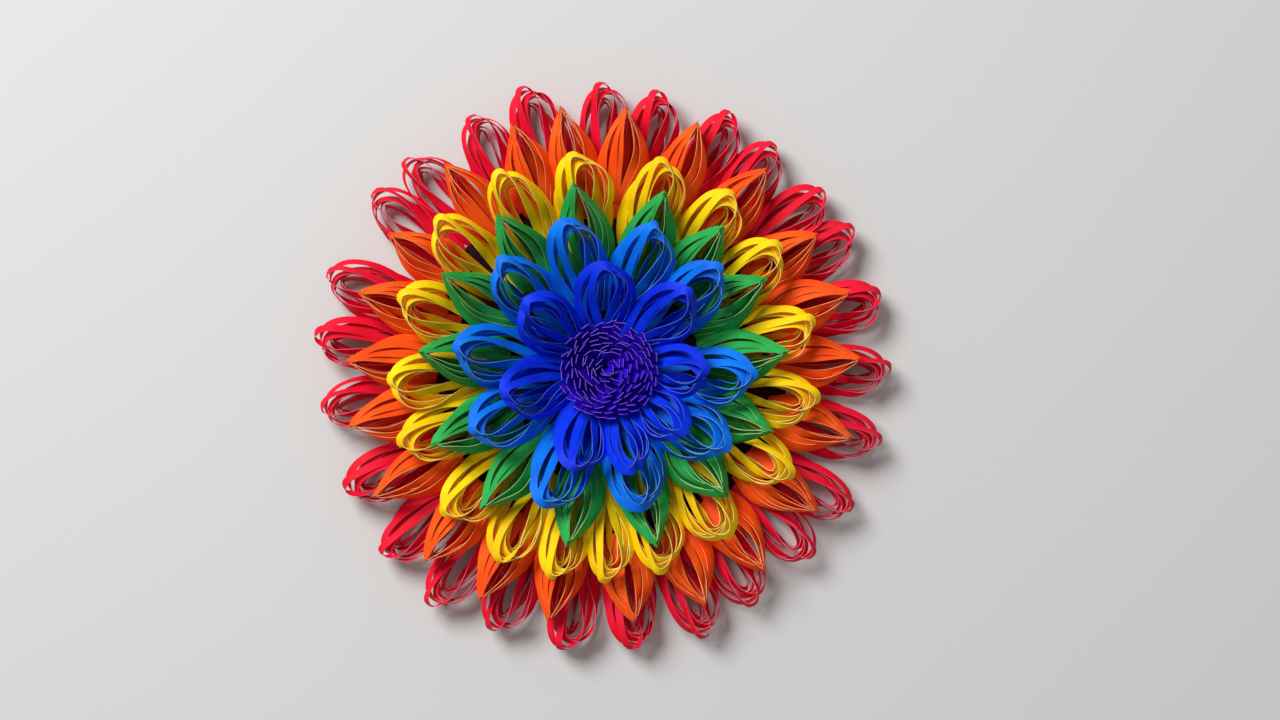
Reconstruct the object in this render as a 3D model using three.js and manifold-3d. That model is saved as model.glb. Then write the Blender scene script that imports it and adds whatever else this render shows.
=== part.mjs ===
// A rainbow flower of folded and slit paper: six rings of looped petals round a fringed centre,
// glued to a round card. Millimetres, +Z up, the origin at the middle of the card's underside.

import * as THREE from "three";
import { mergeVertices } from "three/addons/utils/BufferGeometryUtils.js";
import Module from "manifold-3d";

const wasm = await Module();
wasm.setup();

// Driving dimensions

const card = {
  thickness: 1.5,
  overhang: 5,
  sides: 48,
};

const strip = {
  width: 5,
  thickness: 0.4,
};

// A petal's root is a flattened roll of its own strips, so it is thicker where they are wider.
const root = {
  length: 12,
  width: 1.6 * strip.width,
  height: 0.9 * strip.width,
};

// A petal's belly: how far its strips bow out sideways and up or down from its axis.
const belly = {
  halfWidth: 18,
  halfDepth: 4.5,
  fullAt: 0.45,
};

// The lowest petals rise from the card to this height at their tips.
const outerTipRise = 6.5;

// Loose gaps between a ring and the ring under it, and between neighbours that don't join.
const ringGap = 0.8;
const neighbourGap = 0.8;
// Glued pieces keep this gap, which stands for the glue line.
const glueGap = 0.3;

// The rolled strip in the middle: its uncut border is the stem, and its tabs lean outwards.
const fringe = {
  stemRadius: 13,
  stemHeight: 13,
  stemSides: 16,
  innerTurn: 2.2,
  turnPitch: 1.9,
  turns: 6,
  innerLean: 4,
  outerLean: 66,
  tabWidth: 5,
  tabThickness: 0.5,
  tabLength: 19,
  tabSink: 1.5,
};

// The three strip loops of one petal, from the top one down. turn is the angle round the petal's
// axis, from straight up, at which a loop's two runs lie; reach is its share of the petal's
// length; sections are the places along it, as shares of its reach, where a run is drawn; lift is
// its height past the belly, as a share of the strip's width, so that strips that cross there on
// plan stay clear of each other. A loop is pointed where the paper was creased at the fold, and
// blunt where it only bends, with its last section at the tip.
const topTurn = 36;
const sideLoop = { turn: 88, reach: 0.93, lift: -0.6, sections: [0.42, 0.64], pointed: true };
const lowLoop = { turn: 150, reach: 0.86, lift: -0.25, sections: [0.52], pointed: true };
const pointedLoops = [
  { turn: topTurn, reach: 1, lift: 0.45, sections: [0.42, 0.78], pointed: true },
  sideLoop,
  lowLoop,
];
const roundLoops = [
  { turn: topTurn, reach: 1.07, lift: 0.7, sections: [0.43, 0.92], pointed: false },
  sideLoop,
  lowLoop,
];
// The innermost petals climb so steeply that their loops have to stand further apart.
const steepLoops = [
  { turn: 28, reach: 1.07, lift: 1, sections: [0.43, 0.92], pointed: false },
  sideLoop,
  { turn: 160, reach: 0.86, lift: -0.25, sections: [0.52], pointed: true },
];

// The rings from the outside in. step is the distance from a ring's roots to the roots of the
// next ring in, or from the innermost roots to the stem. reach is a petal's length on plan, and
// spring is how far the ring's tips stand off the ring below. Each petal has its azimuth in
// degrees and its extra reach in millimetres, which is all past its belly. bunches gives how
// many neighbours are joined in one piece; without it each petal is a piece of its own.
const rings = [
  {
    name: "red", colour: 0xe0142f, loops: roundLoops, step: 15, reach: 66, spring: 0,
    bunches: [3, 3, 3, 3, 3, 3, 3, 3, 2],
    petals: [
      [161.5, 4], [174.5, 3], [188, 0], [205.5, -0.5], [220.5, 2.5], [234.5, 4], [247.5, -0.5],
      [262.5, -0.5], [276, -3], [290.5, 0], [303, -3], [318, -3], [330, 0], [345, -0.5],
      [359.5, -0.5], [14.5, 0.5], [28.5, 0], [39, -2], [52, -2.5], [63.5, -0.5], [78.5, -3],
      [90, -0.5], [105, 3], [118, 0], [132.5, 0], [144, 2.5],
    ],
  },
  {
    name: "orange", colour: 0xff5a0a, loops: pointedLoops, step: 24, reach: 64, spring: 2,
    bunches: [3, 3, 3, 3, 3, 2, 3, 2],
    petals: [
      [1.5, -0.5], [17.5, -1], [31.5, -3], [51, -0.5], [69, 2.5], [85, 1], [98.5, 3],
      [110.5, 0.5], [127.5, -0.5], [147.5, -3], [162.5, -0.5], [178, -1], [192.5, 2],
      [209.5, 3], [226.5, 3], [242.5, 2], [257.5, 0], [276.5, -1], [293.5, 0], [309, 1],
      [326, 0], [344, 0],
    ],
  },
  {
    name: "yellow", colour: 0xffd400, loops: roundLoops, step: 19, reach: 63, spring: 3,
    bunches: [2, 2, 2, 2, 2, 2, 2, 2, 2],
    petals: [
      [11.5, -1], [33, -1], [54, 0.5], [73.5, 1], [96.5, 0.5], [117, 4], [139.5, 5],
      [162, -0.5], [184, 0], [201.5, 0], [223, 0], [242, 2], [256.5, 0.5], [271, -2.5],
      [287.5, -3], [307, -3], [330.5, 0], [350.5, 0.5],
    ],
  },
  {
    name: "green", colour: 0x22a04c, loops: pointedLoops, step: 17, reach: 63, spring: 4,
    petals: [
      [4.5, 0], [28.5, 0], [49.5, 0.5], [71, 1], [98, 1], [124.5, 0.5], [150.5, 0.5], [176, 0],
      [204, 2], [229.5, 0], [259, -2], [287, 0], [313.5, -4], [339.5, -3],
    ],
  },
  {
    name: "azure", colour: 0x0a78e8, loops: roundLoops, step: 13, reach: 60.5, spring: 8,
    petals: [
      [356, 0], [39, 2], [70.5, 1], [103, 2], [135, -0.5], [173.5, -0.5], [206, -2], [247, 0],
      [286, -2], [325, -2],
    ],
  },
  {
    name: "royal", colour: 0x0a32dc, loops: steepLoops, step: 4, reach: 47, spring: 12,
    petals: [
      [357, -1], [41, 6], [90, 0], [140, -1], [196, -0.5], [255, 0.5], [287, 2], [322, -1],
    ],
  },
];

const rad = THREE.MathUtils.degToRad;
const smooth = (x) => THREE.MathUtils.smoothstep(x, 0, 1);

// Ring radii: the innermost roots stand round the fringe's stem, and each ring steps out.

let nextRoot = fringe.stemRadius;
for (const ring of [...rings].reverse()) {
  nextRoot += ring.step;
  ring.rootRadius = nextRoot;
}
const cardRadius = rings[0].rootRadius + card.overhang;

// Heights: a ring's roots lie on the card, and past the next ring's roots it lies on that ring.

const seatHeight = card.thickness + glueGap + root.height / 2;

// Half of the height that a petal takes up at its belly, up to the edge of its top strips.
const bellyHeight = Math.cos(rad(topTurn)) * belly.halfDepth
  + (Math.sin(rad(topTurn)) * strip.width) / 2 + strip.thickness / 2;

// Half of the height that a petal takes up, at a share of its reach.
function halfHeight(share) {
  return THREE.MathUtils.lerp(root.height / 2, bellyHeight, smooth(share / belly.fullAt));
}

// Height of a ring's petal axes at a distance from the flower's middle.
function axisHeight(ring, radius) {
  const share = Math.max(0, (radius - ring.rootRadius) / ring.reach);
  const springHeight = ring.spring * share ** 2;
  const below = rings[rings.indexOf(ring) - 1];
  if (!below) {
    return seatHeight + outerTipRise * smooth(share);
  }
  if (radius <= below.rootRadius) {
    const climb = Math.max(0, (radius - ring.rootRadius) / (below.rootRadius - ring.rootRadius));
    return seatHeight + climb * (root.height / 2 + halfHeight(share) + ringGap) + springHeight;
  }
  const shareBelow = (radius - below.rootRadius) / below.reach;
  return axisHeight(below, radius) + halfHeight(shareBelow) + halfHeight(share) + ringGap
    + springHeight;
}

// How far a loop bows out, from 0 at its ends to 1, at a share of its reach.
function bow(share) {
  return Math.sin(Math.PI * Math.min(1, share) ** 1.25) ** 0.8;
}

// Past the belly, from this share of its reach, the strip's outer face leans forward, by
// forwardLean for each unit that it faces out, and the tip itself leans up by tipLean.
const bellyEnd = 0.6;
const forwardLean = 0.5;
const tipLean = 0.4;
// A strip's thickness grows by no more than this where it turns sharply.
const sharpestMitre = 2.5;

// A loop's height over its plain bow, at a share of its reach.
function liftAt(loop, share) {
  return share > bellyEnd ? loop.lift * strip.width : 0;
}

// The corners and triangles of one closed body, collected as they are made.
class Body {
  constructor() {
    this.corners = [];
    this.triangles = [];
  }

  corner(point) {
    this.corners.push(point);
    return this.corners.length - 1;
  }

  // A face from its corners in order, without any triangle that has a corner twice.
  fan(...indices) {
    for (let i = 1; i < indices.length - 1; i += 1) {
      const triangle = [indices[0], indices[i], indices[i + 1]];
      if (new Set(triangle).size === triangle.length) {
        this.triangles.push(...triangle);
      }
    }
  }

  // The walls of a strip between two sections, whose corners run outer, outer, inner, inner. The
  // inner wall is split along the same diagonal as the outer one, so a twist doesn't cross them.
  // The outer wall is left out on a seam.
  strip(from, to, onSeam) {
    if (!onSeam) {
      this.fan(from[0], to[0], to[1], from[1]);
    }
    this.fan(from[1], to[1], to[2], from[2]);
    this.fan(to[2], to[3], from[3], from[2]);
    this.fan(from[3], to[3], to[0], from[0]);
  }

  geometry() {
    const shape = new THREE.BufferGeometry();
    const numbers = this.corners.flatMap((point) => point.toArray());
    shape.setAttribute("position", new THREE.Float32BufferAttribute(numbers, 3));
    shape.setIndex(this.triangles);
    return shape;
  }
}

// One petal: a flattened root roll and the strip loops that leave its front end. Its left and
// right sides each have a width, and a seam where they are joined to a neighbour.
class Petal {
  constructor(ring, azimuth, extra, left, right) {
    this.ring = ring;
    this.extra = extra;
    this.sides = { [-1]: left, 1: right };
    this.forward = new THREE.Vector3(Math.cos(rad(azimuth)), Math.sin(rad(azimuth)), 0);
    this.right = new THREE.Vector3(Math.sin(rad(azimuth)), -Math.cos(rad(azimuth)), 0);
    this.up = new THREE.Vector3(0, 0, 1);
  }

  // A point at a distance along the petal, a place across it and a height above its axis.
  place(along, across, above) {
    const radius = this.ring.rootRadius + along;
    return new THREE.Vector3()
      .addScaledVector(this.forward, radius)
      .addScaledVector(this.right, across)
      .addScaledVector(this.up, axisHeight(this.ring, radius) + above);
  }

  direction(along, across, above) {
    return new THREE.Vector3()
      .addScaledVector(this.forward, along)
      .addScaledVector(this.right, across)
      .addScaledVector(this.up, above)
      .normalize();
  }

  // Distance along the petal of a share of a loop.
  along(loop, share) {
    const pastBelly = share > bellyEnd ? this.extra : 0;
    return share * loop.reach * this.ring.reach + pastBelly;
  }

  // Centre and outward normal of a loop's run, side -1 for its left run and 1 for its right run,
  // or the seam's own outer corners where the run is joined to a neighbour's.
  station(loop, share, side) {
    const { width, seam } = this.sides[side];
    const out = bow(share);
    const across = side * Math.sin(rad(loop.turn));
    const above = Math.cos(rad(loop.turn));
    return {
      centre: this.place(
        this.along(loop, share),
        across * out * width,
        above * out * belly.halfDepth + liftAt(loop, share),
      ),
      normal: this.direction(share > bellyEnd ? forwardLean : 0, across, above),
      outer: loop === sideLoop && seam ? seam[loop.sections.indexOf(share)] : null,
    };
  }

  // The sections of a loop between its two root cells.
  stations(loop) {
    const left = loop.sections.map((share) => this.station(loop, share, -1));
    const right = loop.sections.map((share) => this.station(loop, share, 1)).reverse();
    const tip = {
      centre: this.place(this.along(loop, 1), 0, liftAt(loop, 1)),
      normal: this.direction(1, 0, Math.cos(rad(loop.turn)) * tipLean),
    };
    return loop.pointed ? [...left, tip, ...right] : [...left, ...right];
  }

  // A strip's section at a station: its four corners, as shares of half width and half thickness.
  section(body, station, arrive, leave) {
    if (station.outer) {
      const inner = station.outer.map((index) => body.corner(
        body.corners[index].clone().addScaledVector(station.normal, -strip.thickness),
      ));
      return [station.outer[0], station.outer[1], inner[1], inner[0]];
    }
    const tangent = arrive.clone().add(leave).normalize();
    const across = tangent.clone().cross(station.normal).normalize();
    const outward = across.clone().cross(tangent);
    const mitre = Math.min(sharpestMitre, 1 / tangent.dot(arrive));
    return [[1, 1], [-1, 1], [-1, -1], [1, -1]].map(([wide, thick]) => body.corner(
      station.centre.clone()
        .addScaledVector(across, (wide * strip.width) / 2)
        .addScaledVector(outward, (thick * mitre * strip.thickness) / 2),
    ));
  }

  // One loop, from its left cell in the root's front end, round the tip, to its right cell.
  addLoop(body, loop, leftCell, rightCell) {
    const stations = this.stations(loop);
    const rootPoint = this.place(root.length, 0, 0);
    const centres = [rootPoint, ...stations.map((item) => item.centre), rootPoint];
    let previous = leftCell;
    stations.forEach((station, i) => {
      const arrive = centres[i + 1].clone().sub(centres[i]).normalize();
      const leave = centres[i + 2].clone().sub(centres[i + 1]).normalize();
      const section = this.section(body, station, arrive, leave);
      body.strip(previous, section, station.outer && stations[i - 1]?.outer);
      previous = section;
    });
    body.strip(previous, rightCell, false);
  }

  addTo(body) {
    const halfWide = root.width / 2;
    const halfHigh = root.height / 2;
    const rear = [[-1, 1], [1, 1], [1, -1], [-1, -1]].map(([x, z]) => body.corner(
      this.place(0, x * halfWide, z * halfHigh),
    ));

    // The front end has six corners round its rim and one in the middle. Each run leaves it as a
    // wedge, from one side of the rim to the middle.
    const rim = [[-1, 1], [0, 1], [1, 1], [1, -1], [0, -1], [-1, -1], [0, 0]];
    const [topLeft, top, topRight, lowRight, low, lowLeft, middle] = rim.map(([x, z]) => body.corner(
      this.place(root.length, x * halfWide, z * halfHigh),
    ));
    body.fan(rear[0], rear[3], rear[2], rear[1]);
    body.fan(rear[0], rear[1], topRight, top, topLeft);
    body.fan(rear[3], lowLeft, low, lowRight, rear[2]);
    body.fan(rear[0], topLeft, lowLeft, rear[3]);
    body.fan(rear[1], rear[2], lowRight, topRight);

    // The sides of the rim that the top, side and low loops leave from, left and right.
    const sides = [
      [[top, topLeft], [top, topRight]],
      [[topLeft, lowLeft], [topRight, lowRight]],
      [[lowLeft, low], [lowRight, low]],
    ];
    this.ring.loops.forEach((loop, i) => {
      const [leftCell, rightCell] = sides[i].map((side) => [...side, middle, middle]);
      this.addLoop(body, loop, leftCell, rightCell);
    });
  }
}

// The seam of two joined neighbours, on the line midway between them: the upper and lower outer
// corners of their side strips at each section.
function addSeam(body, ring, azimuth, angle) {
  const middle = rad(azimuth + angle / 2);
  return sideLoop.sections.map((share) => {
    const radius = ring.rootRadius + share * sideLoop.reach * ring.reach;
    const distance = radius / Math.cos(rad(angle / 2));
    const height = axisHeight(ring, radius) + liftAt(sideLoop, share);
    return [1, -1].map((end) => body.corner(new THREE.Vector3(
      distance * Math.cos(middle),
      distance * Math.sin(middle),
      height + (end * strip.width) / 2,
    )));
  });
}

// How far a petal's belly may reach on one side, from the angle to its neighbour there.
function sideWidth(ring, angle) {
  const slope = Math.tan(rad(angle / 2));
  const fullest = sideLoop.sections[0];
  const room = [0.2, 0.3, fullest].map((share) => {
    const radius = ring.rootRadius + share * sideLoop.reach * ring.reach;
    const halfStrip = share < fullest ? strip.width / 2 : strip.thickness / 2;
    return (radius * slope - neighbourGap / 2 - halfStrip) / bow(share);
  });
  return Math.min(belly.halfWidth, ...room);
}

// Booleans

function toSolid(geometry) {
  const bare = geometry.clone();
  bare.deleteAttribute("normal");
  bare.deleteAttribute("uv");
  const merged = mergeVertices(bare, 1e-5);
  return new wasm.Manifold(new wasm.Mesh({
    numProp: 3,
    vertProperties: new Float32Array(merged.attributes.position.array),
    triVerts: new Uint32Array(merged.index.array),
  }));
}

function toGeometry(solid) {
  const mesh = solid.getMesh();
  const shape = new THREE.BufferGeometry();
  shape.setAttribute("position", new THREE.BufferAttribute(mesh.vertProperties, 3));
  shape.setIndex(new THREE.BufferAttribute(mesh.triVerts, 1));
  return shape;
}

function join(geometries) {
  return toGeometry(geometries.map(toSolid).reduce((all, next) => all.add(next)));
}

function namedMesh(name, geometry, colour) {
  const material = new THREE.MeshStandardMaterial({ color: colour, roughness: 0.85, metalness: 0 });
  const mesh = new THREE.Mesh(geometry, material);
  mesh.name = name;
  return mesh;
}

// A ring's pieces: each is one petal, or a bunch of neighbours joined at their side strips.
function ringMeshes(ring) {
  const count = ring.petals.length;
  const bunches = ring.bunches ?? ring.petals.map(() => 1);
  const angleAfter = (i) => (ring.petals[(i + 1) % count][0] - ring.petals[i % count][0] + 360) % 360;
  let first = 0;
  return bunches.map((size, bunch) => {
    const body = new Body();
    let seam = null;
    for (let i = first; i < first + size; i += 1) {
      const [azimuth, extra] = ring.petals[i];
      const right = { width: sideWidth(ring, angleAfter(i + count - 1)), seam };
      seam = i < first + size - 1 ? addSeam(body, ring, azimuth, angleAfter(i)) : null;
      const left = { width: sideWidth(ring, angleAfter(i)), seam };
      new Petal(ring, azimuth, extra, left, right).addTo(body);
    }
    first += size;
    const kind = ring.bunches ? "petals" : "petal";
    return namedMesh(`${ring.name}_${kind}_${bunch + 1}`, body.geometry(), ring.colour);
  });
}

// The round card that carries every petal.
function backingDisc() {
  const disc = new THREE.CylinderGeometry(cardRadius, cardRadius, card.thickness, card.sides);
  disc.rotateX(Math.PI / 2);
  disc.translate(0, 0, card.thickness / 2);
  return namedMesh("backing_disc", toGeometry(toSolid(disc)), 0xa81626);
}

// The rolled strip of fringe: its stem and its tabs, turn by turn.
function fringedCentre() {
  const bottom = card.thickness + glueGap;
  const top = bottom + fringe.stemHeight;
  const stem = new THREE.CylinderGeometry(
    fringe.stemRadius,
    fringe.stemRadius,
    fringe.stemHeight,
    fringe.stemSides,
  );
  stem.rotateX(Math.PI / 2);
  stem.translate(0, 0, (bottom + top) / 2);
  const bodies = [stem];
  for (let turn = 0; turn < fringe.turns; turn += 1) {
    const radius = fringe.innerTurn + turn * fringe.turnPitch;
    const lean = THREE.MathUtils.lerp(
      fringe.innerLean,
      fringe.outerLean,
      turn / (fringe.turns - 1),
    );
    const tabs = Math.floor(Math.PI / Math.atan(fringe.tabWidth / 2 / radius));
    for (let tab = 0; tab < tabs; tab += 1) {
      const shape = new THREE.BoxGeometry(fringe.tabThickness, fringe.tabWidth, fringe.tabLength);
      shape.translate(0, 0, fringe.tabLength / 2 - fringe.tabSink);
      shape.rotateY(rad(lean));
      shape.translate(radius, 0, top);
      shape.rotateZ((2 * Math.PI * (tab + 0.5 * (turn % 2))) / tabs);
      bodies.push(shape);
    }
  }
  return namedMesh("fringed_centre", join(bodies), 0x4a0ad2);
}

const flower = new THREE.Group();
flower.add(backingDisc());
flower.add(fringedCentre());
rings.forEach((ring) => {
  flower.add(...ringMeshes(ring));
});

export default flower;
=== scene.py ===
"""Looks for the paper flower: looped petals and a fringed centre, on a round card."""

import math
import random

import bpy
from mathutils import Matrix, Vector


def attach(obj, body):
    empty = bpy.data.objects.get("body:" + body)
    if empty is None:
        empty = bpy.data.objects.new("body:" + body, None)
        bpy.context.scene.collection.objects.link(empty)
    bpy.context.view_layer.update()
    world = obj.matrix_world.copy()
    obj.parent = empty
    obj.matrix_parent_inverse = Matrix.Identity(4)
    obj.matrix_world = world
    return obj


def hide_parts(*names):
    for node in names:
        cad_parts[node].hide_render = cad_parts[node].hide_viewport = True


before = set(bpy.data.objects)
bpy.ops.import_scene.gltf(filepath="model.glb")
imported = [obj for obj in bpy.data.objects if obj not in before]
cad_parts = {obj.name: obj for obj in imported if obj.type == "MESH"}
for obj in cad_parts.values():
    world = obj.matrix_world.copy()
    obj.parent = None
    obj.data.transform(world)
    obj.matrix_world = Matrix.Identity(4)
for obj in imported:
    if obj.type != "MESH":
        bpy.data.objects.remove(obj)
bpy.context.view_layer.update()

MM = 0.001
UP = Vector((0, 0, 1))

# Sizes in millimetres, as in the CAD model.
CARD_THICKNESS = 1.5
CARD_RADIUS = 110
GLUE_GAP = 0.3
ROOT_LENGTH = 12
ROOT_WIDTH = 8
ROOT_HEIGHT = 4.5
RING_GAP = 0.8
BELLY_HEIGHT = 5.3
FULL_AT = 0.45
OUTER_TIP_RISE = 6.5
STEM_RADIUS = 13
STEM_HEIGHT = 13

# The paper strips, with how far a strip's middle bulges as a share of its thickness, and how
# near the card or the floor it comes.
STRIP_WIDTH = 5
STRIP_ROOT_WIDTH = 3.6
STRIP_THICKNESS = 0.35
STRIP_CROWN = 0.6
STRIP_CLEARANCE = 0.3
SHARP_ANGLE = 40
STATIONS = 48

# A petal's loops: how thick they are through its belly, where along half a loop it leaves the
# root, how pointed a creased one is, and how far the tips lean back, in degrees.
HALF_DEPTH = 4.6
LOOP_START = 0.16
CREASED_BOW_POWER = 0.9
LEAN_BACK = 24

# Where along a petal, from 0 at the root to 1 at the tip, each change starts and ends.
WIDENS = (0, 0.3)
DRIFTS = (0, 0.7)
TIP_RISES = (0.45, 0.95)
LEANS_BACK = (0.6, 1)
LIT_SIDE_TURNS = (0.42, 0.8)
SHADED_SIDE_TURNS = (0.36, 0.76)
TIP_TURNS = (0.68, 1)

# Past these distances from the middle, a strip may hang below the top of the card.
CARD_EDGE = (CARD_RADIUS - 2, CARD_RADIUS + 8)

# The rings from the outside in, as in the CAD model: the radius of the roots, a petal's length on
# plan, how far the tips stand off the ring below, the widest half width of a petal, whether its
# tip is creased, and each petal's azimuth in degrees with its extra length.
RINGS = [
    {
        "name": "red", "root": 105, "reach": 66, "spring": 0, "half_width": 14,
        "creased": False, "nodes": "petals", "bunches": [3, 3, 3, 3, 3, 3, 3, 3, 2],
        "petals": [
            (161.5, 4), (174.5, 3), (188, 0), (205.5, -0.5), (220.5, 2.5), (234.5, 4),
            (247.5, -0.5), (262.5, -0.5), (276, -3), (290.5, 0), (303, -3), (318, -3), (330, 0),
            (345, -0.5), (359.5, -0.5), (14.5, 0.5), (28.5, 0), (39, -2), (52, -2.5),
            (63.5, -0.5), (78.5, -3), (90, -0.5), (105, 3), (118, 0), (132.5, 0), (144, 2.5),
        ],
    },
    {
        "name": "orange", "root": 90, "reach": 64, "spring": 2, "half_width": 15,
        "creased": True, "nodes": "petals", "bunches": [3, 3, 3, 3, 3, 2, 3, 2],
        "petals": [
            (1.5, -0.5), (17.5, -1), (31.5, -3), (51, -0.5), (69, 2.5), (85, 1), (98.5, 3),
            (110.5, 0.5), (127.5, -0.5), (147.5, -3), (162.5, -0.5), (178, -1), (192.5, 2),
            (209.5, 3), (226.5, 3), (242.5, 2), (257.5, 0), (276.5, -1), (293.5, 0), (309, 1),
            (326, 0), (344, 0),
        ],
    },
    {
        "name": "yellow", "root": 66, "reach": 63, "spring": 3, "half_width": 16,
        "creased": False, "nodes": "petals", "bunches": [2, 2, 2, 2, 2, 2, 2, 2, 2],
        "petals": [
            (11.5, -1), (33, -1), (54, 0.5), (73.5, 1), (96.5, 0.5), (117, 4), (139.5, 5),
            (162, -0.5), (184, 0), (201.5, 0), (223, 0), (242, 2), (256.5, 0.5), (271, -2.5),
            (287.5, -3), (307, -3), (330.5, 0), (350.5, 0.5),
        ],
    },
    {
        "name": "green", "root": 47, "reach": 63, "spring": 4, "half_width": 15,
        "creased": True, "nodes": "petal", "bunches": [1] * 14,
        "petals": [
            (4.5, 0), (28.5, 0), (49.5, 0.5), (71, 1), (98, 1), (124.5, 0.5), (150.5, 0.5),
            (176, 0), (204, 2), (229.5, 0), (259, -2), (287, 0), (313.5, -4), (339.5, -3),
        ],
    },
    {
        "name": "azure", "root": 30, "reach": 60.5, "spring": 8, "half_width": 16.5,
        "creased": False, "nodes": "petal", "bunches": [1] * 10,
        "petals": [
            (356, 0), (39, 2), (70.5, 1), (103, 2), (135, -0.5), (173.5, -0.5), (206, -2),
            (247, 0), (286, -2), (325, -2),
        ],
    },
    {
        "name": "royal", "root": 17, "reach": 47, "spring": 12, "half_width": 16.5,
        "creased": False, "nodes": "petal", "bunches": [1] * 8,
        "petals": [
            (357, -1), (41, 6), (90, 0), (140, -1), (196, -0.5), (255, 0.5), (287, 2), (322, -1),
        ],
    },
]
# Where along a petal it meets its neighbours, and its share of the room that is there.
BELLY_AT = 0.55
ROOM_SHARE = 0.98

# The loops of a petal from the top one down: the angle round the petal's axis of its two runs, its
# share of the petal's length, its drift to the side, and how near its tip it is at its fullest.
ROUND_LOOPS = [
    (30, 1.0, 2, 2.2),
    (49, 0.93, -3, 1.8),
    (70, 0.96, 1.5, 1.0),
    (94, 0.9, -1.5, 0.4),
    (124, 0.87, 1, 0),
    (156, 0.84, 0, 0),
]
CREASED_LOOPS = [
    (20, 1.0, 0.5, 1.5),
    (39, 0.985, -0.5, 1.35),
    (64, 0.97, 0.5, 1.15),
    (94, 0.96, -0.5, 0.95),
    (126, 0.945, 0, 0.8),
    (157, 0.93, 0, 0.8),
]
# How high the tip of a top loop stands above the petal's axis.
TIP_FAN = 2.8

# Strips face the side that the light comes from. Angles are in degrees: the light's azimuth, the
# lean of the strips at the tips, and the lean on the shaded side of a petal.
LIGHT_AZIMUTH = 132
TIP_LEAN = 34
CREASED_TIP_LEAN = 25
LEAST_TIP_LEAN = 14
SHADED_LEAN = (2, 56)
# A petal turns to the light more sharply than its azimuth does, its lit shoulder leans further
# than its tip, and the whole petal rolls with it.
LIT_GAIN = 1.7
SHOULDER_LEAN = 1.4
ROLL_WITH_LEAN = 0.3
# How far a side strip leans from upright near the root, at least, and how much wider than the
# others the lower loops leave the root.
SPLAY = math.radians(56)
LOOSE_ROOT = 1.8

# How far chance takes each petal and loop.
LIT_CHANCE = 0.35
ANGLE_CHANCE = 9
BEND_CHANCE = 2
REACH_CHANCE = (-1.4, 0.4)
BOW_CHANCE = (0.88, 1.04)
DRIFT_CHANCE = (0.6, 1.4)

# The rolled root: turns of its spiral, its steps, and its size at the inner and the outer end.
ROOT_TURNS = 2.5
ROOT_STEPS = 60
ROOT_SPIRAL = (0.35, 0.95)

# The fringed centre: turns of tabs round a rolled stem. The tabs' tops make a dome.
FRINGE_TURNS = 10
FRINGE_RADIUS = 30
FRINGE_LEANS_OVER = Vector((3, -1.2, 0))
ROLL_STEPS = 80
ROLL_INNER_RADIUS = 1
ROLL_INSET = 0.4
TAB_WIDTH = 5.3
TAB_GAP = 1.9
TAB_THICKNESS = 0.2
TAB_STEPS = 8
TAB_OVERLAP = 2
TAB_INSET = 1
FEWEST_TABS = 3
DOME_TOP = 30
DOME_EDGE = 26
# Tabs nearer the middle than this share of the radius are loose: they droop and turn about.
LOOSE_WITHIN = 1 / 1.5
# The outer tabs spread out over the lower part of their height, and by how much of the way.
SPREADS_OUT = (0, 1 / 1.6)
SPREAD_LOW = 0.92
# Tabs turn in waves round the centre and by chance. Pairs are for the outer and the inner tabs.
TWIST_WAVE = 22
TWIST_WAVES = 3
TWIST_WINDS = 9
TWIST_CHANCE = (16, 30)
TAB_TIP_CHANCE = (1, 2)
TAB_TOP_CHANCE = 1.5
TAB_ASTRAY = 2.5
TAB_PLACE_CHANCE = 0.15


def smooth(x):
    x = min(1, max(0, x))
    return x * x * (3 - 2 * x)


def ramp(x, span):
    """0 before the span, 1 after it, and a smooth change between."""
    start, end = span
    return smooth((x - start) / (end - start))


def mix(a, b, share):
    return a + (b - a) * share


# Height of the rings, as in the CAD model.
SEAT = CARD_THICKNESS + GLUE_GAP + ROOT_HEIGHT / 2
SLOPE_STEP = 2


def half_height(share):
    return mix(ROOT_HEIGHT / 2, BELLY_HEIGHT, smooth(share / FULL_AT))


def axis_height(index, radius):
    ring = RINGS[index]
    share = max(0, (radius - ring["root"]) / ring["reach"])
    spring = ring["spring"] * share ** 2
    if index == 0:
        return SEAT + OUTER_TIP_RISE * smooth(share)
    below = RINGS[index - 1]
    if radius <= below["root"]:
        climb = max(0, (radius - ring["root"]) / (below["root"] - ring["root"]))
        return SEAT + climb * (ROOT_HEIGHT / 2 + half_height(share) + RING_GAP) + spring
    share_below = (radius - below["root"]) / below["reach"]
    return (
        axis_height(index - 1, radius)
        + half_height(share_below)
        + half_height(share)
        + RING_GAP
        + spring
    )


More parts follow.
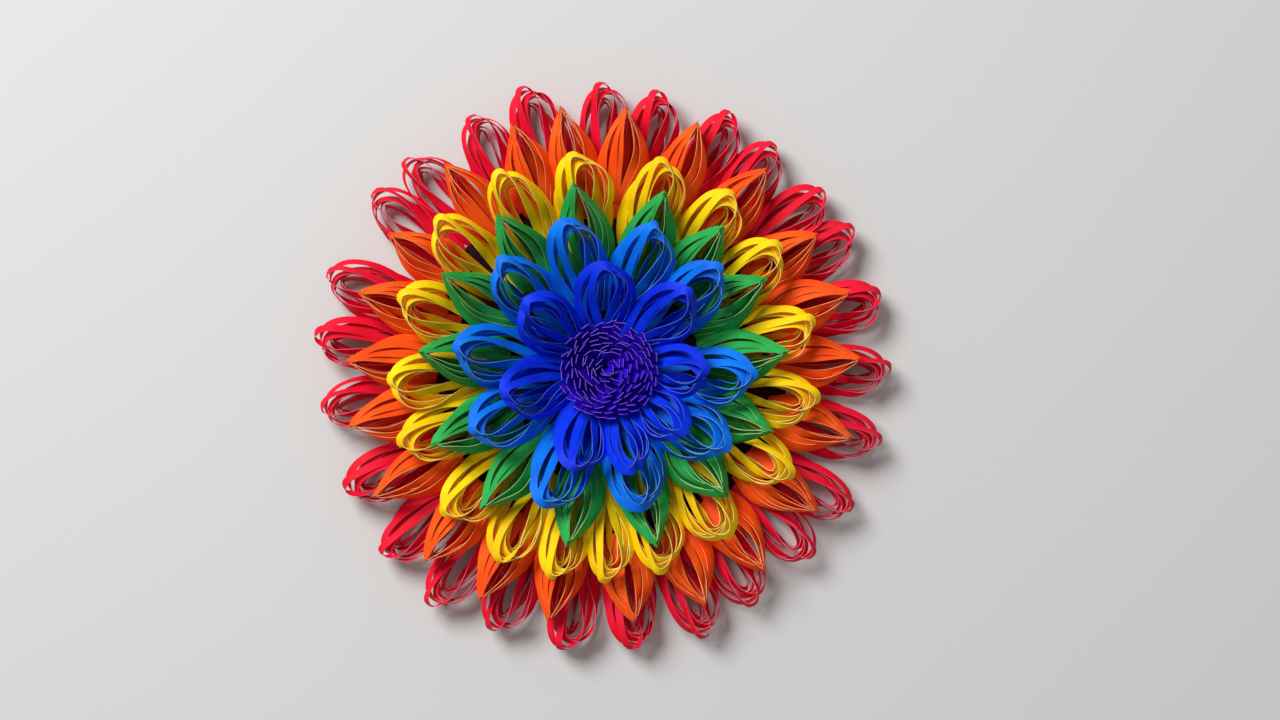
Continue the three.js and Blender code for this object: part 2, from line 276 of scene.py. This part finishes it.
class PaperMesh:
    """A mesh of paper strips and sheets, with the cut edges in a material of their own."""

    def __init__(self):
        self.points = []
        self.faces = []
        self.cut = []

    def face(self, corners, cut=False):
        self.faces.append(corners)
        self.cut.append(cut)

    def ribbon(self, centres, acrosses, widths, thickness):
        """A strip along the centres, with its width direction and its width at each."""
        count = len(centres)
        rows = []
        for i in range(count):
            ahead = centres[min(i + 1, count - 1)] - centres[max(i - 1, 0)]
            tangent = ahead.normalized()
            across = acrosses[i] - tangent * acrosses[i].dot(tangent)
            across.normalize()
            normal = across.cross(tangent)
            first = len(self.points)
            crown = thickness * STRIP_CROWN
            for side, lift in ((-1, 0), (0, crown), (1, 0)):
                base = centres[i] + across * (side * widths[i] / 2) + normal * lift
                self.points.append(base + normal * (thickness / 2))
                self.points.append(base - normal * (thickness / 2))
            rows.append(range(first, first + 6))
        for a, b in zip(rows, rows[1:]):
            self.face((a[0], a[2], b[2], b[0]))
            self.face((a[2], a[4], b[4], b[2]))
            self.face((a[5], a[3], b[3], b[5]))
            self.face((a[3], a[1], b[1], b[3]))
            self.face((a[1], a[0], b[0], b[1]), cut=True)
            self.face((a[4], a[5], b[5], b[4]), cut=True)
        for row, flip in ((rows[0], False), (rows[-1], True)):
            ends = [(row[0], row[1], row[3], row[2]), (row[2], row[3], row[5], row[4])]
            for end in ends:
                self.face(end[::-1] if flip else end, cut=True)

    def build(self, name, face_material, cut_material):
        mesh = bpy.data.meshes.new(name)
        mesh.from_pydata([point * MM for point in self.points], [], self.faces)
        mesh.materials.append(face_material)
        mesh.materials.append(cut_material)
        for polygon, cut in zip(mesh.polygons, self.cut):
            polygon.material_index = 1 if cut else 0
            polygon.use_smooth = True
        mesh.set_sharp_from_angle(angle=math.radians(SHARP_ANGLE))
        piece = bpy.data.objects.new(name, mesh)
        bpy.context.scene.collection.objects.link(piece)
        return piece


def outline(half_turn, creased, fullness):
    """Share of the length and bow, 0 to 1, at a place along half of a loop."""
    if creased:
        bow = math.sin(math.pi * half_turn ** fullness) ** CREASED_BOW_POWER
        return half_turn, bow
    angle = half_turn * math.pi
    widest = math.sqrt((1 + fullness) / (2 + fullness))
    most = 2 * widest ** (1 + fullness) * math.sqrt(1 - widest ** 2)
    return (1 - math.cos(angle)) / 2, math.sin(angle) * math.sin(angle / 2) ** fullness / most


def strip_lean(side, belly_lean, tip_lean, shaded, share):
    """Lean of a strip from upright: flat at the belly, broad on the lit shoulder, thin opposite."""
    if side * tip_lean < 0:
        lean = mix(belly_lean, SHOULDER_LEAN * tip_lean, ramp(share, LIT_SIDE_TURNS))
    else:
        thin = math.copysign(shaded, -tip_lean)
        lean = mix(belly_lean, thin, ramp(share, SHADED_SIDE_TURNS))
    return mix(lean, tip_lean, ramp(share, TIP_TURNS))


def add_petal(paper, index, azimuth, extra, room, dice):
    """Adds one petal. room is its half width on each side, left and right."""
    ring = RINGS[index]
    forward = Vector((math.cos(math.radians(azimuth)), math.sin(math.radians(azimuth)), 0))
    right = Vector((forward.y, -forward.x, 0))
    lit = math.sin(math.radians(LIGHT_AZIMUTH - azimuth)) * LIT_GAIN
    lit = min(1, max(-1, lit)) + dice.uniform(-LIT_CHANCE, LIT_CHANCE)
    most_lean = CREASED_TIP_LEAN if ring["creased"] else TIP_LEAN
    tip_lean = math.radians(math.copysign(max(most_lean * abs(lit), LEAST_TIP_LEAN), lit))
    roll = ROLL_WITH_LEAN * tip_lean + math.radians(dice.uniform(-ANGLE_CHANCE, ANGLE_CHANCE))
    reach = ring["reach"] + extra
    bend = dice.uniform(-BEND_CHANCE, BEND_CHANCE)

    def place(along, across, above, lean_back=0):
        """A point beside the petal's axis, and the direction that is up from the axis there."""
        radius = ring["root"] + along
        rise = axis_height(index, radius + SLOPE_STEP) - axis_height(index, radius - SLOPE_STEP)
        slope = math.atan(rise / (2 * SLOPE_STEP))
        up = UP * math.cos(slope) - forward * math.sin(slope)
        point = forward * radius + UP * axis_height(index, radius) + right * across + up * above
        slope += lean_back
        return point, UP * math.cos(slope) - forward * math.sin(slope)

    loops = CREASED_LOOPS if ring["creased"] else ROUND_LOOPS
    for turn, length, drift, fullness in loops:
        loop_reach = reach * length + dice.uniform(*REACH_CHANCE)
        spread = dice.uniform(*BOW_CHANCE)
        tip_height = math.cos(math.radians(turn)) * TIP_FAN
        loop_lean = tip_lean + math.radians(dice.uniform(-ANGLE_CHANCE, ANGLE_CHANCE))
        shaded = math.radians(dice.uniform(*SHADED_LEAN))
        sideways = math.copysign(1, -tip_lean) * drift * dice.uniform(*DRIFT_CHANCE)
        half_root = ROOT_WIDTH / 2 * (LOOSE_ROOT if turn > 90 else 1)
        centres = []
        acrosses = []
        widths = []
        for i in range(STATIONS + 1):
            whole = 2 * i / STATIONS
            side = -1 if whole <= 1 else 1
            half_turn = mix(LOOP_START, 1, whole if whole <= 1 else 2 - whole)
            share, bow = outline(half_turn, ring["creased"], fullness)
            angle = side * math.radians(turn) + roll * bow
            half_width = room[0] if math.sin(angle) < 0 else room[1]
            wide = math.hypot(half_root * (1 - share) ** 2, half_width * bow * spread)
            deep = math.hypot(ROOT_HEIGHT / 2 * (1 - share) ** 2, HALF_DEPTH * bow)
            point, up = place(
                share * loop_reach,
                math.sin(angle) * wide + sideways * ramp(share, DRIFTS) + bend * share ** 2,
                math.cos(angle) * deep + tip_height * ramp(share, TIP_RISES),
                math.radians(LEAN_BACK) * ramp(share, LEANS_BACK),
            )
            normal_angle = math.atan2(math.sin(angle) * deep, math.cos(angle) * wide)
            belly_lean = -side * max(SPLAY, math.pi / 2 - side * normal_angle)
            lean = strip_lean(side, belly_lean, loop_lean, shaded, share)
            across = right * math.sin(lean) + up * math.cos(lean)
            strip_width = mix(STRIP_ROOT_WIDTH, STRIP_WIDTH, ramp(share, WIDENS))
            ground = mix(CARD_THICKNESS, 0, ramp(point.xy.length, CARD_EDGE))
            lowest = ground + STRIP_CLEARANCE + abs(across.z) * strip_width / 2
            point.z = max(point.z, lowest)
            centres.append(point)
            acrosses.append(across)
            widths.append(strip_width)
        paper.ribbon(centres, acrosses, widths, STRIP_THICKNESS)
    add_root(paper, place)


def add_root(paper, place):
    """The flattened roll at a petal's root: a spiral of paper."""
    centres = []
    for i in range(ROOT_STEPS + 1):
        share = i / ROOT_STEPS
        angle = 2 * math.pi * ROOT_TURNS * share
        size = mix(*ROOT_SPIRAL, share)
        point, _ = place(
            ROOT_LENGTH / 2,
            math.sin(angle) * ROOT_WIDTH / 2 * size,
            math.cos(angle) * ROOT_HEIGHT / 2 * size,
        )
        centres.append(point)
    along = place(ROOT_LENGTH, 0, 0)[0] - place(0, 0, 0)[0]
    count = len(centres)
    paper.ribbon(centres, [along] * count, [ROOT_LENGTH] * count, STRIP_THICKNESS)


def add_fringe(paper, dice):
    """The fringed centre: its rolled stem, and turn after turn of tabs."""
    base = CARD_THICKNESS + GLUE_GAP
    roll = []
    steps = ROLL_STEPS * FRINGE_TURNS
    for i in range(steps + 1):
        share = i / steps
        angle = 2 * math.pi * FRINGE_TURNS * share
        radius = mix(ROLL_INNER_RADIUS, STEM_RADIUS - ROLL_INSET, share)
        height = base + STEM_HEIGHT / 2
        roll.append(Vector((math.cos(angle) * radius, math.sin(angle) * radius, height)))
    paper.ribbon(roll, [UP] * len(roll), [STEM_HEIGHT] * len(roll), TAB_THICKNESS)
    for turn in range(FRINGE_TURNS):
        share = (turn + 0.5) / FRINGE_TURNS
        count = round(2 * math.pi * FRINGE_RADIUS * share / (TAB_WIDTH + TAB_GAP))
        count = max(FEWEST_TABS, count)
        start = dice.uniform(0, 360)
        for i in range(count):
            shift = dice.uniform(-TAB_PLACE_CHANCE, TAB_PLACE_CHANCE)
            azimuth = math.radians(start + 360 * (i + shift) / count)
            add_tab(paper, dice, share, azimuth, base + STEM_HEIGHT - TAB_OVERLAP)


def add_tab(paper, dice, share, azimuth, bottom):
    """One tab of the fringe. The inner tabs droop and turn about, and the outer ones stand up."""
    loose = 1 - ramp(share, (0, LOOSE_WITHIN))
    out = Vector((math.cos(azimuth), math.sin(azimuth), 0))
    twist = TWIST_WAVE * math.sin(TWIST_WAVES * azimuth + TWIST_WINDS * share)
    twist += mix(*TWIST_CHANCE, loose) * dice.uniform(-1, 1)
    tangent = azimuth + math.radians(twist)
    across = Vector((-math.sin(tangent), math.cos(tangent), 0))
    tip = FRINGE_RADIUS * share + dice.uniform(-1, 1) * mix(*TAB_TIP_CHANCE, loose)
    top = mix(DOME_TOP, DOME_EDGE, share ** 2) + dice.uniform(-TAB_TOP_CHANCE, TAB_TOP_CHANCE)
    astray_x = dice.uniform(-TAB_ASTRAY, TAB_ASTRAY)
    astray_y = dice.uniform(-TAB_ASTRAY, TAB_ASTRAY)
    astray = Vector((astray_x, astray_y, 0)) * loose
    inner = (STEM_RADIUS - TAB_INSET) * share
    centres = []
    for step in range(TAB_STEPS + 1):
        climb = step / TAB_STEPS
        upright = ramp(climb, SPREADS_OUT) * SPREAD_LOW + (1 - SPREAD_LOW) * climb
        flare = mix(upright, climb ** 2, loose)
        centre = out * mix(inner, tip, flare) + UP * mix(bottom, top, climb)
        centres.append(centre + FRINGE_LEANS_OVER * climb + astray * climb ** 2)
    paper.ribbon(centres, [across] * len(centres), [TAB_WIDTH] * len(centres), TAB_THICKNESS)


def srgb(red, green, blue):
    def linear(value):
        value /= 255
        return value / 12.92 if value <= 0.04045 else ((value + 0.055) / 1.055) ** 2.4
    return (linear(red), linear(green), linear(blue), 1)


# Dyed paper: soft clouds and fibres of two near shades, and a fine grain in the surface. Each
# noise has its scale and its detail.
CLOUDS = (45, 3)
FIBRES = (900, 5)
FIBRE_SHARE = 0.35
SHADE_SPAN = (0.45, 0.85)
ROUGHNESS = (0.54, 0.7)
GRAIN_STRENGTH = 0.35
GRAIN_DEPTH = 0.06
SPECULAR = 0.2


def paper_material(name, light, deep):
    material = bpy.data.materials.new(name)
    material.use_nodes = True
    nodes = material.node_tree.nodes
    links = material.node_tree.links
    shader = nodes["Principled BSDF"]
    place = nodes.new("ShaderNodeTexCoord")

    def noise(scale, detail):
        node = nodes.new("ShaderNodeTexNoise")
        node.inputs["Scale"].default_value = scale
        node.inputs["Detail"].default_value = detail
        links.new(place.outputs["Object"], node.inputs["Vector"])
        return node

    clouds = noise(*CLOUDS)
    fibres = noise(*FIBRES)
    blend = nodes.new("ShaderNodeMath")
    blend.operation = "MULTIPLY_ADD"
    blend.inputs[1].default_value = FIBRE_SHARE
    links.new(fibres.outputs["Fac"], blend.inputs[0])
    links.new(clouds.outputs["Fac"], blend.inputs[2])
    shades = nodes.new("ShaderNodeValToRGB")
    for element, position, colour in zip(shades.color_ramp.elements, SHADE_SPAN, (deep, light)):
        element.position = position
        element.color = colour
    links.new(blend.outputs["Value"], shades.inputs["Fac"])
    links.new(shades.outputs["Color"], shader.inputs["Base Color"])

    rough = nodes.new("ShaderNodeMapRange")
    rough.inputs["To Min"].default_value = ROUGHNESS[0]
    rough.inputs["To Max"].default_value = ROUGHNESS[1]
    links.new(fibres.outputs["Fac"], rough.inputs["Value"])
    links.new(rough.outputs["Result"], shader.inputs["Roughness"])

    bump = nodes.new("ShaderNodeBump")
    bump.inputs["Strength"].default_value = GRAIN_STRENGTH
    bump.inputs["Distance"].default_value = GRAIN_DEPTH * MM
    links.new(fibres.outputs["Fac"], bump.inputs["Height"])
    links.new(bump.outputs["Normal"], shader.inputs["Normal"])
    shader.inputs["Specular IOR Level"].default_value = SPECULAR
    return material


# Each colour of paper: its lighter and deeper shade, and its cut edge.
PAPERS = {
    "red": (srgb(240, 12, 56), srgb(220, 0, 30), srgb(255, 92, 124)),
    "orange": (srgb(255, 98, 18), srgb(246, 66, 2), srgb(255, 164, 106)),
    "yellow": (srgb(255, 222, 2), srgb(250, 194, 0), srgb(255, 236, 120)),
    "green": (srgb(46, 178, 84), srgb(26, 142, 54), srgb(164, 218, 140)),
    "azure": (srgb(0, 128, 246), srgb(0, 94, 212), srgb(96, 170, 236)),
    "royal": (srgb(0, 58, 240), srgb(0, 34, 204), srgb(84, 110, 226)),
    "violet": (srgb(66, 2, 226), srgb(38, 0, 172), srgb(176, 132, 255)),
}
# Painted shade: the card is coloured a near-black dark red instead of its own deep red. Bits of it show
# only in the shade between petals, and there the dark colour stands in for shadow.
CARD_PAINTED_SHADE = (srgb(58, 10, 20), srgb(44, 6, 14))

faces = {}
edges = {}
for colour, (light, deep, cut) in PAPERS.items():
    faces[colour] = paper_material("paper_" + colour, light, deep)
    edges[colour] = paper_material("cut_" + colour, cut, cut)

# The card's material is painted shade, near-black in place of the card's deep red.
card = paper_material("paper_card_painted_shade", *CARD_PAINTED_SHADE)
for material_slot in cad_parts["backing_disc"].material_slots:
    material_slot.material = card

# Petals: one piece for each, standing for its CAD node, or for the bunch that it is part of.
for index, ring in enumerate(RINGS):
    count = len(ring["petals"])
    owner = [bunch for bunch, size in enumerate(ring["bunches"]) for _ in range(size)]
    for i, (azimuth, extra) in enumerate(ring["petals"]):
        dice = random.Random(1000 * index + i)
        belly = ring["root"] + BELLY_AT * ring["reach"]
        room = []
        for other in (ring["petals"][(i + 1) % count], ring["petals"][i - 1]):
            angle = abs((other[0] - azimuth + 180) % 360 - 180)
            half_gap = belly * math.tan(math.radians(angle / 2))
            room.append(min(ring["half_width"], half_gap * ROOM_SHARE))
        paper = PaperMesh()
        add_petal(paper, index, azimuth, extra, room, dice)
        piece = paper.build(
            "%s_loops_%02d" % (ring["name"], i + 1), faces[ring["name"]], edges[ring["name"]]
        )
        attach(piece, "root")
        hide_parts("%s_%s_%d" % (ring["name"], ring["nodes"], owner[i] + 1))

fringe = PaperMesh()
add_fringe(fringe, random.Random(7))
fringe_piece = fringe.build("fringe_tabs", faces["violet"], edges["violet"])
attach(fringe_piece, "root")
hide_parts("fringed_centre")

# Floor, lights and camera, in metres.
FLOOR_REACH = 4
FLOOR_COLOUR = (0.68, 0.68, 0.67, 1)
FLOOR_ROUGHNESS = 0.9
WORLD_COLOUR = (1, 1, 1, 1)
WORLD_STRENGTH = 0.28
WINDOW_PLACE = (-1.35, 1.5, 2.1)
WINDOW_SIZE = 1.6
WINDOW_WATTS = 88

floor_corners = [(x * FLOOR_REACH, y * FLOOR_REACH, 0) for x, y in ((-1, -1), (1, -1), (1, 1), (-1, 1))]
floor_mesh = bpy.data.meshes.new("floor")
floor_mesh.from_pydata(floor_corners, [], [(0, 1, 2, 3)])
floor = bpy.data.objects.new("floor", floor_mesh)
bpy.context.scene.collection.objects.link(floor)
floor_material = bpy.data.materials.new("floor")
floor_material.use_nodes = True
floor_shader = floor_material.node_tree.nodes["Principled BSDF"]
floor_shader.inputs["Base Color"].default_value = FLOOR_COLOUR
floor_shader.inputs["Roughness"].default_value = FLOOR_ROUGHNESS
floor_mesh.materials.append(floor_material)

world = bpy.data.worlds.new("studio")
world.use_nodes = True
world.node_tree.nodes["Background"].inputs["Color"].default_value = WORLD_COLOUR
world.node_tree.nodes["Background"].inputs["Strength"].default_value = WORLD_STRENGTH
bpy.context.scene.world = world

lamp = bpy.data.lights.new("window", "AREA")
lamp.shape = "DISK"
lamp.size = WINDOW_SIZE
lamp.energy = WINDOW_WATTS
window = bpy.data.objects.new("window", lamp)
window.location = WINDOW_PLACE
window.rotation_euler = (-window.location).to_track_quat("-Z", "Y").to_euler()
bpy.context.scene.collection.objects.link(window)

# The photograph is taken from straight above. Its middle is off the flower's.
VIEW_WIDTH = 0.768
VIEW_CENTRE = (0.0216, 0.0048)
CAMERA_HEIGHT = 2.5
SENSOR_WIDTH = 36
CLIP_END = 20
lens = bpy.data.cameras.new("camera")
lens.sensor_width = SENSOR_WIDTH
lens.lens = SENSOR_WIDTH * CAMERA_HEIGHT / VIEW_WIDTH
lens.clip_end = CLIP_END
camera = bpy.data.objects.new("camera", lens)
camera.location = (*VIEW_CENTRE, CAMERA_HEIGHT)
bpy.context.scene.collection.objects.link(camera)
bpy.context.scene.camera = camera
bpy.context.scene.view_settings.view_transform = "Standard"
